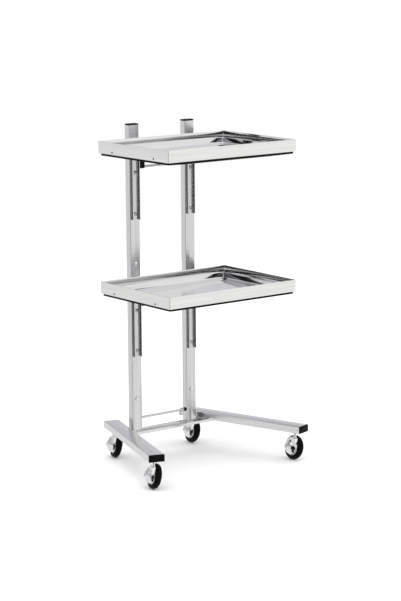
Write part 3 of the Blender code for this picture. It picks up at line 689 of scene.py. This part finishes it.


# Painted shade: a near-black finish for the shelves' undersides, which are steel in shade.
SHADE_BLACK = shade_black_satin("painted_shade_black")
for level in ("lower", "upper"):
    low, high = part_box(level + "_under_pan")
    middle = (low + high) / 2
    half_x = (high.x - low.x) / 2
    half_y = (high.y - low.y) / 2
    rings = []
    for sheet in (0.0, UNDER_SHEET):
        shape = ((0.0, high.z, UNDER_TOP_CORNER),
                 (0.0, high.z - UNDER_LIP, UNDER_TOP_CORNER),
                 (UNDER_FOOT_INSET, low.z + sheet, UNDER_FOOT_CORNER))
        rings.append([centred(round_rectangle(half_x - inset - sheet, half_y - inset - sheet,
                                              corner - sheet, 8), middle, z)
                      for inset, z, corner in shape])
    bm = bmesh.new()
    skin(bm, rings[0][::-1] + rings[1])
    bm.verts.ensure_lookup_table()
    count = len(rings[0][0])
    bm.faces.new(bm.verts[:count])
    bm.faces.new(bm.verts[-count:])
    # The pressing's near-black is painted shade under the shelf.
    shown(level + "_black_pressing", bm, SHADE_BLACK, "stand", [level + "_under_pan"])


# ------------------------------------------------------------------ shelf frames
# Each shelf is a deep skirt folded from 1.5 mm sheet, mitred and welded at the corners and
# ground flush, with a ledge inside that the lift-out pan sits on.
FRAME_SHEET = 0.0015
FRAME_CORNER = 0.0022
LEDGE_DROP = 0.0210
LEDGE_WIDTH = 0.0130
LEDGE_EASE = 0.0006
SHARPEST_CORNER = 0.0004
RIM_FOLD = FRAME_SHEET / 2


def arc(centre_in, centre_z, radius, first, last, steps=4):
    """Points of a fold in a section, as (distance in, height)."""
    points = []
    for step in range(steps + 1):
        angle = math.radians(first + (last - first) * step / steps)
        points.append((centre_in + radius * math.cos(angle), centre_z + radius * math.sin(angle)))
    return points


def frame_section(skirt):
    """The folded sheet's section, from the outside of the skirt in."""
    wall = FRAME_SHEET
    bottom = -skirt
    lip = wall + LEDGE_WIDTH
    ledge = -LEDGE_DROP
    return (arc(wall, bottom + wall, wall, 180, 270)
            + [(lip, bottom), (lip, bottom + wall), (wall, bottom + wall),
               (wall, ledge - wall), (lip, ledge - wall), (lip, ledge),
               (wall + LEDGE_EASE, ledge), (wall, ledge + LEDGE_EASE)]
            + arc(RIM_FOLD, -RIM_FOLD, RIM_FOLD, 0, 180, 6))


def skirt_steel(name):
    """Brushed round the frame: along X on the long sides, along Y on the ends."""
    material = brushed(name, (0.0, 0.0, 0.0), (0.855, 0.85, 0.845), 0.09, 0.0000004)
    tree = material.node_tree
    nodes, links = tree.nodes, tree.links
    lie = next(node for node in nodes if node.type == "MAPPING")
    place = next(node for node in nodes if node.type == "TEX_COORD")
    taken = [link.to_socket for link in lie.outputs[0].links]
    faces = nodes.new("ShaderNodeNewGeometry")
    parts = nodes.new("ShaderNodeSeparateXYZ")
    links.new(faces.outputs["True Normal"], parts.inputs[0])
    square = nodes.new("ShaderNodeMath")
    square.operation = "MULTIPLY"
    links.new(parts.outputs["X"], square.inputs[0])
    links.new(parts.outputs["X"], square.inputs[1])
    end_face = nodes.new("ShaderNodeMath")
    end_face.operation = "GREATER_THAN"
    end_face.inputs[1].default_value = 0.5
    links.new(square.outputs[0], end_face.inputs[0])
    swapped = nodes.new("ShaderNodeMapping")
    swapped.vector_type = "TEXTURE"
    swapped.inputs["Rotation"].default_value = (0.0, 0.0, math.pi / 2)
    links.new(place.outputs["Object"], swapped.inputs["Vector"])
    chosen = nodes.new("ShaderNodeMix")
    chosen.data_type = "VECTOR"
    links.new(end_face.outputs[0], chosen.inputs["Factor"])
    links.new(lie.outputs[0], chosen.inputs["A"])
    links.new(swapped.outputs[0], chosen.inputs["B"])
    for socket in taken:
        links.new(chosen.outputs["Result"], socket)
    return material


SKIRT_STEEL = skirt_steel("skirt_steel")
for level in ("lower", "upper"):
    node = level + "_tray_frame"
    low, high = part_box(node)
    middle = (low + high) / 2
    half_x = (high.x - low.x) / 2
    half_y = (high.y - low.y) / 2
    rings = []
    for inwards, height in frame_section(high.z - low.z):
        corner = max(FRAME_CORNER - inwards, SHARPEST_CORNER)
        rings.append(centred(round_rectangle(half_x - inwards, half_y - inwards, corner, 5),
                             middle, high.z + height))
    bm = bmesh.new()
    skin(bm, rings, joined=True)
    shown(level + "_skirt", bm, SKIRT_STEEL, "stand", [node])


# ------------------------------------------------------------------ lift-out pans
# A pressed pan of 1 mm polished sheet: a flange that rests on the ledge, slightly drafted
# walls with generous folds and a flat mirror-bright floor.
PAN_SHEET = 0.0010
PAN_FLANGE = 0.0145
PAN_DRAFT = 0.0030
PAN_CORNER = 0.0030
PAN_FOLD = 0.0020
PAN_STEEL = brushed("pan_steel", (0.0, 0.0, 0.0), (0.770, 0.765, 0.785), 0.06, 0.0000006)


def pan_section(depth, sheet):
    """Upper or lower face of the pan's sheet, from its edge to the floor."""
    top = -sheet
    floor = -depth - sheet
    outer_fold = PAN_FOLD + sheet
    inner_fold = PAN_FOLD + PAN_SHEET - sheet
    wall_top = PAN_FLANGE + PAN_SHEET - sheet
    wall_foot = wall_top + PAN_DRAFT
    return ([(0.0, top)]
            + [(wall_top - outer_fold + x, top - outer_fold + z)
               for x, z in arc(0.0, 0.0, outer_fold, 90, 0)]
            + [(wall_foot + inner_fold + x, floor + inner_fold + z)
               for x, z in arc(0.0, 0.0, inner_fold, 180, 270)])


for level in ("lower", "upper"):
    node = level + "_tray_pan"
    low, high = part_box(node)
    middle = (low + high) / 2
    half_x = (high.x - low.x) / 2
    half_y = (high.y - low.y) / 2
    depth = high.z - low.z - PAN_SHEET
    faces = []
    for sheet in (0.0, PAN_SHEET):
        rings = []
        for inwards, height in pan_section(depth, sheet):
            ring = round_rectangle(half_x - inwards, half_y - inwards, PAN_CORNER, 8)
            rings.append(centred(ring, middle, high.z + height))
        faces.append(rings)
    bm = bmesh.new()
    skin(bm, faces[0][::-1] + faces[1])
    bm.verts.ensure_lookup_table()
    count = len(faces[0][0])
    bm.faces.new(bm.verts[:count])
    bm.faces.new(bm.verts[-count:])
    shown(level + "_pan", bm, PAN_STEEL, level + "_pan", [node])


# ------------------------------------------------------------------ casters
# Ball-shaped swivel casters: a chromed hood on a swivel pin, a chromed bowl inside a solid
# black tyre, and a headed axle that rises a little towards the hood.
def chromed(name, roughness=0.08):
    """Bright chrome plate over a polished pressing, faintly rippled."""
    material, shader = plain_finish(name, (0.86, 0.86, 0.87), 1.0, roughness)
    tree = material.node_tree
    place = tree.nodes.new("ShaderNodeTexCoord")
    marks = tree.nodes.new("ShaderNodeGroup")
    marks.node_tree = HANDLING
    marks.inputs["Patches per metre"].default_value = 90.0
    tree.links.new(place.outputs["Object"], marks.inputs["Vector"])
    gloss = tree.nodes.new("ShaderNodeMath")
    gloss.operation = "MULTIPLY_ADD"
    gloss.inputs[1].default_value = 0.07
    gloss.inputs[2].default_value = roughness
    tree.links.new(marks.outputs["Dulling"], gloss.inputs[0])
    tree.links.new(gloss.outputs[0], shader.inputs["Roughness"])
    ripple = tree.nodes.new("ShaderNodeTexNoise")
    ripple.inputs["Scale"].default_value = 130.0
    ripple.inputs["Detail"].default_value = 1.0
    tree.links.new(place.outputs["Object"], ripple.inputs["Vector"])
    bump = tree.nodes.new("ShaderNodeBump")
    bump.inputs["Strength"].default_value = 0.35
    bump.inputs["Distance"].default_value = 0.00005
    tree.links.new(ripple.outputs["Fac"], bump.inputs["Height"])
    tree.links.new(bump.outputs[0], shader.inputs["Normal"])
    return material


CHROME = chromed("caster_chrome")
RUBBER = moulded("tyre_rubber", (0.0022, 0.0022, 0.0022), 0.50)
AXLE_STEEL = bright("axle_steel", (0.0, 0.0, 0.0))
WHEEL_SIDES = 72
WHEEL_RADIUS = 0.0410
TYRE_HALF_WIDTH = 0.250 * WHEEL_RADIUS
TYRE_SHOULDER = 0.840 * WHEEL_RADIUS
TYRE_BORE = 0.675 * WHEEL_RADIUS
BOWL_MOUTH = 0.285 * WHEEL_RADIUS
BOWL_RADIUS = 0.631 * WHEEL_RADIUS
BOWL_RISE = 0.520 * WHEEL_RADIUS
BOWL_WALL = 0.040 * WHEEL_RADIUS
AXLE_RADIUS = 0.0036
AXLE_BORE = 0.0039
AXLE_HEAD_RADIUS = 0.0060
AXLE_HEAD_LENGTH = 0.0020
CLEARANCE = 0.0003
HOOD_CROWN = 0.875 * WHEEL_RADIUS
HOOD_GRAIN = 0.00045
HOOD_CREASE = 60
SHOULDER_LIFT = 0.0055
SHOULDER_FROM = (0.058, 0.070)
NECK_FROM = (0.074, 0.090)
STEM_FLANGE = 0.0100
STEM_NECK = 0.0052
STEM_FLARE = 0.0039
FLARE_PROFILE = ((STEM_FLANGE, 0.0), (STEM_FLANGE, 0.0008), (0.0084, 0.0014),
                 (0.0068, 0.0022), (0.0057, 0.0031), (STEM_NECK, STEM_FLARE))
PIN_RADIUS = 0.0030
PIN_LENGTH = 0.0180


def wheel_place(prefix):
    """Middle of the wheel; Z runs up the axle to the hood, and X is the upward way."""
    spin = next(j for j in frame["joints"] if j["name"] == prefix + "_wheel_spin")
    along = Vector(spin["axis"]).normalized()
    up = Vector((0.0, 0.0, 1.0))
    up = (up - along * up.dot(along)).normalized()
    turn = Matrix((up, along.cross(up), along)).transposed().to_4x4()
    return Matrix.Translation(Vector(spin["pos_m"])) @ turn


def dome(radius, mouth, rise, bore, steps=12):
    """A softly pointed dome's outline, from its bored crown out to its mouth."""
    points = []
    for step in range(steps + 1):
        lean = math.pi / 2 * step / steps
        out = max(radius * math.sin(lean), bore)
        points.append((out, mouth + rise * math.cos(lean) ** 1.25))
    return points


def tyre_outline(steps=16):
    """Solid tyre: flat walls, softened beads and a full round tread."""
    points = [(TYRE_BORE, -TYRE_HALF_WIDTH * 0.94), (TYRE_BORE * 1.02, -TYRE_HALF_WIDTH)]
    for step in range(steps + 1):
        lean = math.pi * (step / steps - 0.5)
        points.append((TYRE_SHOULDER + (WHEEL_RADIUS - TYRE_SHOULDER) * math.cos(lean),
                       TYRE_HALF_WIDTH * math.sin(lean)))
    points += [(TYRE_BORE * 1.02, TYRE_HALF_WIDTH), (TYRE_BORE, TYRE_HALF_WIDTH * 0.94)]
    return points + points[:1]


def bowl_outline():
    """The bowl's sheet, domed at the hood's side and open at the other, with its rim."""
    rim = TYRE_BORE - CLEARANCE
    edge = -TYRE_HALF_WIDTH
    points = dome(BOWL_RADIUS, BOWL_MOUTH, BOWL_RISE, AXLE_BORE)
    points += [(BOWL_RADIUS + 0.0004, BOWL_MOUTH - 0.0010), (rim - 0.0006, BOWL_MOUTH - 0.0012),
               (rim, BOWL_MOUTH - 0.0018), (rim, edge), (rim - BOWL_WALL, edge),
               (rim - BOWL_WALL, BOWL_MOUTH - 0.0030)]
    inner = dome(BOWL_RADIUS - BOWL_WALL, BOWL_MOUTH, BOWL_RISE - BOWL_WALL, 2 * AXLE_BORE)
    points += inner[::-1]
    points += [(2 * AXLE_BORE, edge), (AXLE_BORE, edge)]
    return points + points[:1]


def smooth_step(value, first, last):
    """Rises from 0 to 1 with no kink as the value goes from first to last."""
    share = min(1.0, max(0.0, (value - first) / (last - first)))
    return share * share * (3.0 - 2.0 * share)


def pressed_hood(node):
    """The hood's solid with the soft folds of a real pressing and raised shoulders."""
    bm = bmesh.new()
    bm.from_mesh(frame["nodes"][node].data)
    bmesh.ops.remove_doubles(bm, verts=bm.verts, dist=1e-6)
    mesh = bpy.data.meshes.new(node + "_rough")
    bm.to_mesh(mesh)
    bm.free()
    rough = bpy.data.objects.new(node + "_rough", mesh)
    bpy.context.scene.collection.objects.link(rough)
    remesh = rough.modifiers.new("Even skin", "REMESH")
    remesh.mode = "VOXEL"
    remesh.voxel_size = HOOD_GRAIN
    relax = rough.modifiers.new("Soft folds", "SMOOTH")
    relax.factor = 0.5
    relax.iterations = 14
    graph = bpy.context.evaluated_depsgraph_get()
    soft = bpy.data.meshes.new_from_object(rough.evaluated_get(graph))
    bpy.data.objects.remove(rough)
    made = bmesh.new()
    made.from_mesh(soft)
    for vert in made.verts:
        lift = smooth_step(vert.co.z, *SHOULDER_FROM) - smooth_step(vert.co.z, *NECK_FROM)
        vert.co.z += SHOULDER_LIFT * lift
    return made


for end in ("front", "rear"):
    for side in LEG_SIDES:
        prefix = f"{end}_{side}"
        middle = wheel_place(prefix)
        wheel_body = prefix + "_wheel"
        swivel_body = prefix + "_swivel"
        bm = bmesh.new()
        turned(bm, tyre_outline(), WHEEL_SIDES, middle)
        shown(prefix + "_solid_tyre", bm, RUBBER, wheel_body, [prefix + "_caster_tyre"])
        bm = bmesh.new()
        turned(bm, bowl_outline(), WHEEL_SIDES, middle)
        shown(prefix + "_bowl", bm, CHROME, wheel_body, [prefix + "_caster_wheel"])
        boss = -TYRE_HALF_WIDTH - CLEARANCE
        head_end = boss - AXLE_HEAD_LENGTH
        bm = bmesh.new()
        turned(bm, ((0.0, HOOD_CROWN), (AXLE_RADIUS * 0.7, HOOD_CROWN - 0.0001),
                    (AXLE_RADIUS, HOOD_CROWN - 0.0008), (AXLE_RADIUS, boss),
                    (AXLE_HEAD_RADIUS, boss), (AXLE_HEAD_RADIUS, head_end + 0.0008),
                    (AXLE_HEAD_RADIUS * 0.8, head_end), (0.0, head_end)),
               ROD_SIDES, middle)
        shown(prefix + "_axle_pin", bm, AXLE_STEEL, swivel_body, [prefix + "_caster_axle"])
        shown(prefix + "_pressed_hood", pressed_hood(prefix + "_caster_hood"), CHROME,
              swivel_body, [prefix + "_caster_hood"], HOOD_CREASE)
        low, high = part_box(prefix + "_caster_stem")
        under_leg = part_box(side + "_leg")[0].z - CLEARANCE
        foot = under_leg - STEM_FLARE
        flare = [(radius, under_leg - drop) for radius, drop in FLARE_PROFILE]
        bm = bmesh.new()
        turned(bm, [(0.0, under_leg), *flare, (PIN_RADIUS, foot),
                    (PIN_RADIUS, foot - PIN_LENGTH), (0.0, foot - PIN_LENGTH)],
               ROD_SIDES, Matrix.Translation(((low.x + high.x) / 2, (low.y + high.y) / 2, 0.0)))
        shown(prefix + "_swivel_pin", bm, CHROME, "stand", [prefix + "_caster_stem"])


# ------------------------------------------------------------------ studio
# A pale sweep of floor and broad soft light from above. The surround that the metal throws
# back has grey walls, a bright window to the right and a black cloth on the near side.
FLOOR_RADIUS = 4.2
FLOOR_SIDES = 96
TOWARDS_VIEWER = Vector((-0.604, -0.797, 0.0))
TOWARDS_WINDOW = Vector((0.605, -0.796, 0.0))
CLOTH_EDGES = (32, 20)
CLOTH_TOP = (0.50, 0.36)
CLOTH_BLACK = (0.012, 0.011, 0.010)
WINDOW_EDGES = (52, 34)
WINDOW_WHITE = (0.94, 0.94, 0.93)
SOFTBOX = 1.36
# The walls' tones from straight down (0) past the horizon (0.5) to straight up (1).
WALL_TONES = ((0.00, (0.80, 0.80, 0.80)), (0.35, (0.84, 0.84, 0.84)),
              (0.49, (0.80, 0.80, 0.80)), (0.52, (0.76, 0.75, 0.78)),
              (0.62, (0.70, 0.69, 0.73)), (0.70, (0.40, 0.40, 0.41)),
              (0.80, (0.50, 0.50, 0.51)), (0.88, (1.10, 1.10, 1.10)),
              (1.00, (1.20, 1.20, 1.20)))

bm = bmesh.new()
bmesh.ops.create_circle(bm, cap_ends=True, segments=FLOOR_SIDES, radius=FLOOR_RADIUS)
floor_mesh = bpy.data.meshes.new("floor")
bm.to_mesh(floor_mesh)
bm.free()
floor = bpy.data.objects.new("floor", floor_mesh)
bpy.context.scene.collection.objects.link(floor)
paint, paint_shader = plain_finish("floor_paint", (0.90, 0.90, 0.90), 0.0, 0.9)
paint_shader.inputs["Specular IOR Level"].default_value = 0.0
floor_mesh.materials.append(paint)
floor.visible_glossy = False


def studio_world():
    """Surround seen in the metal, by direction; what the camera sees of it is plain white."""
    world = bpy.data.worlds.new("studio")
    bpy.context.scene.world = world
    world.use_nodes = True
    nodes, links = world.node_tree.nodes, world.node_tree.links
    nodes.clear()
    direction = nodes.new("ShaderNodeTexCoord")
    parts = nodes.new("ShaderNodeSeparateXYZ")
    links.new(direction.outputs["Generated"], parts.inputs[0])
    height = nodes.new("ShaderNodeMapRange")
    height.inputs["From Min"].default_value = -1.0
    height.inputs["From Max"].default_value = 1.0
    links.new(parts.outputs["Z"], height.inputs["Value"])
    walls = nodes.new("ShaderNodeValToRGB")
    ramp = walls.color_ramp
    while len(ramp.elements) < len(WALL_TONES):
        ramp.elements.new(0.5)
    for element, (position, colour) in zip(ramp.elements, WALL_TONES):
        element.position = position
        element.color = (*colour, 1.0)
    links.new(height.outputs[0], walls.inputs["Fac"])
    flat = nodes.new("ShaderNodeCombineXYZ")
    links.new(parts.outputs["X"], flat.inputs["X"])
    links.new(parts.outputs["Y"], flat.inputs["Y"])
    level = nodes.new("ShaderNodeVectorMath")
    level.operation = "NORMALIZE"
    links.new(flat.outputs[0], level.inputs[0])

    def towards(direction, edges):
        """1 towards the level direction, fading to 0 between these angles from it."""
        facing = nodes.new("ShaderNodeVectorMath")
        facing.operation = "DOT_PRODUCT"
        facing.inputs[1].default_value = direction
        links.new(level.outputs[0], facing.inputs[0])
        near = nodes.new("ShaderNodeMapRange")
        near.interpolation_type = "SMOOTHSTEP"
        near.inputs["From Min"].default_value = math.cos(math.radians(edges[0]))
        near.inputs["From Max"].default_value = math.cos(math.radians(edges[1]))
        links.new(facing.outputs["Value"], near.inputs["Value"])
        return near.outputs[0]

    def covered(under, colour, share):
        """The tone under with this colour laid over it by the share."""
        mix = nodes.new("ShaderNodeMix")
        mix.data_type = "RGBA"
        mix.inputs["B"].default_value = (*colour, 1.0)
        links.new(share, mix.inputs["Factor"])
        links.new(under, mix.inputs["A"])
        return mix.outputs["Result"]

    top = nodes.new("ShaderNodeMapRange")
    top.interpolation_type = "SMOOTHSTEP"
    top.inputs["From Min"].default_value = CLOTH_TOP[0]
    top.inputs["From Max"].default_value = CLOTH_TOP[1]
    links.new(parts.outputs["Z"], top.inputs["Value"])
    cloth = nodes.new("ShaderNodeMath")
    cloth.operation = "MULTIPLY"
    links.new(towards(TOWARDS_VIEWER, CLOTH_EDGES), cloth.inputs[0])
    links.new(top.outputs[0], cloth.inputs[1])
    window = towards(TOWARDS_WINDOW, WINDOW_EDGES)
    tone = covered(walls.outputs["Color"], WINDOW_WHITE, window)
    tone = covered(tone, CLOTH_BLACK, cloth.outputs[0])
    ray = nodes.new("ShaderNodeLightPath")
    tone = covered(tone, (SOFTBOX, SOFTBOX, SOFTBOX), ray.outputs["Is Diffuse Ray"])
    tone = covered(tone, (1.0, 1.0, 1.0), ray.outputs["Is Camera Ray"])
    background = nodes.new("ShaderNodeBackground")
    links.new(tone, background.inputs["Color"])
    out = nodes.new("ShaderNodeOutputWorld")
    links.new(background.outputs[0], out.inputs["Surface"])


studio_world()


LAMP_PLACE = Vector((-0.6, -0.9, 3.6))
LAMP_AIM = Vector((0.1, 0.1, 0.0))
lamp_data = bpy.data.lights.new("overhead", "AREA")
lamp_data.shape = "DISK"
lamp_data.size = 2.4
lamp_data.energy = 30.0
lamp = bpy.data.objects.new("overhead", lamp_data)
bpy.context.scene.collection.objects.link(lamp)
lamp.location = LAMP_PLACE
lamp.rotation_euler = (LAMP_AIM - LAMP_PLACE).to_track_quat("-Z", "Y").to_euler()
lamp.visible_glossy = False

# The view: a long lens, a little above the upper shelf, turned to see the left end.
LENS = 123.626
YAW = math.radians(37.16243)
PITCH = math.radians(10.50447)
ROLL = math.radians(-0.44336)
VIEW_LEFT = 3.98140
VIEW_BEFORE_TRAY = 5.074278
VIEW_ABOVE_RIM = 0.70077
tray_low, tray_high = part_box("upper_tray_frame")
camera_data = bpy.data.cameras.new("camera")
camera_data.lens = LENS
camera_data.sensor_width = 36.0
camera_data.sensor_fit = "AUTO"
camera_data.clip_end = 100.0
camera = bpy.data.objects.new("camera", camera_data)
bpy.context.scene.collection.objects.link(camera)
bpy.context.scene.camera = camera
ahead = Vector((math.sin(YAW) * math.cos(PITCH), math.cos(YAW) * math.cos(PITCH),
                -math.sin(PITCH)))
right = Vector((math.cos(YAW), -math.sin(YAW), 0.0))
above = right.cross(ahead)
side_axis = right * math.cos(ROLL) + above * math.sin(ROLL)
up_axis = above * math.cos(ROLL) - right * math.sin(ROLL)
turn = Matrix((side_axis, up_axis, -ahead)).transposed().to_4x4()
stand_point = Vector((-VIEW_LEFT, tray_low.y - VIEW_BEFORE_TRAY,
                      tray_high.z + VIEW_ABOVE_RIM))
camera.matrix_world = Matrix.Translation(stand_point) @ turn

bpy.context.scene.view_settings.view_transform = "Standard"
bpy.context.scene.view_settings.look = "None"
